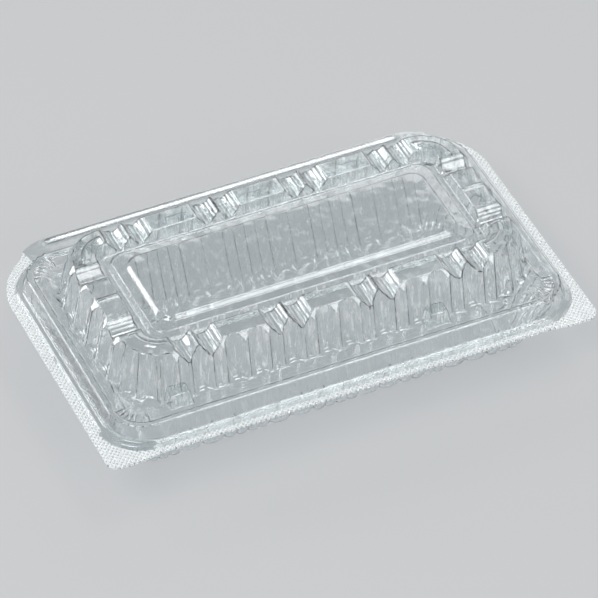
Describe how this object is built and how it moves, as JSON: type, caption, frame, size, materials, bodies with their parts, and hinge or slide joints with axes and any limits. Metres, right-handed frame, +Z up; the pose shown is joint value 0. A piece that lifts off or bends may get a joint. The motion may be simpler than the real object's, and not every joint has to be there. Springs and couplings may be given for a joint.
{
  "type": "hinged clamshell food pack",
  "caption": "Clear thermoformed clamshell food pack: ribbed shallow tray and a domed lid with grooved shoulder, window panel and knurled rim, joined by a crease.",
  "frame": {"origin": "under the middle of the closed pack, on the plane it stands on", "axes": "+X along the long side, +Y from the snap side towards the crease, +Z up"},
  "size_m": [0.2, 0.1272, 0.052],
  "materials": {
    "clear_tray": "clear, glossy, colourless thermoformed sheet",
    "clear_lid": "clear, glossy, colourless thermoformed sheet"
  },
  "bodies": {
    "tray": {"tray": "clear_tray"},
    "lid": {"lid": "clear_lid"}
  },
  "joints": [
    {"name": "lid_crease", "type": "hinge", "parent": "tray", "child": "lid", "pos_m": [0, 0.06365, 0.025], "axis": [-1, 0, 0], "range_deg": [0, 175]}
  ]
}
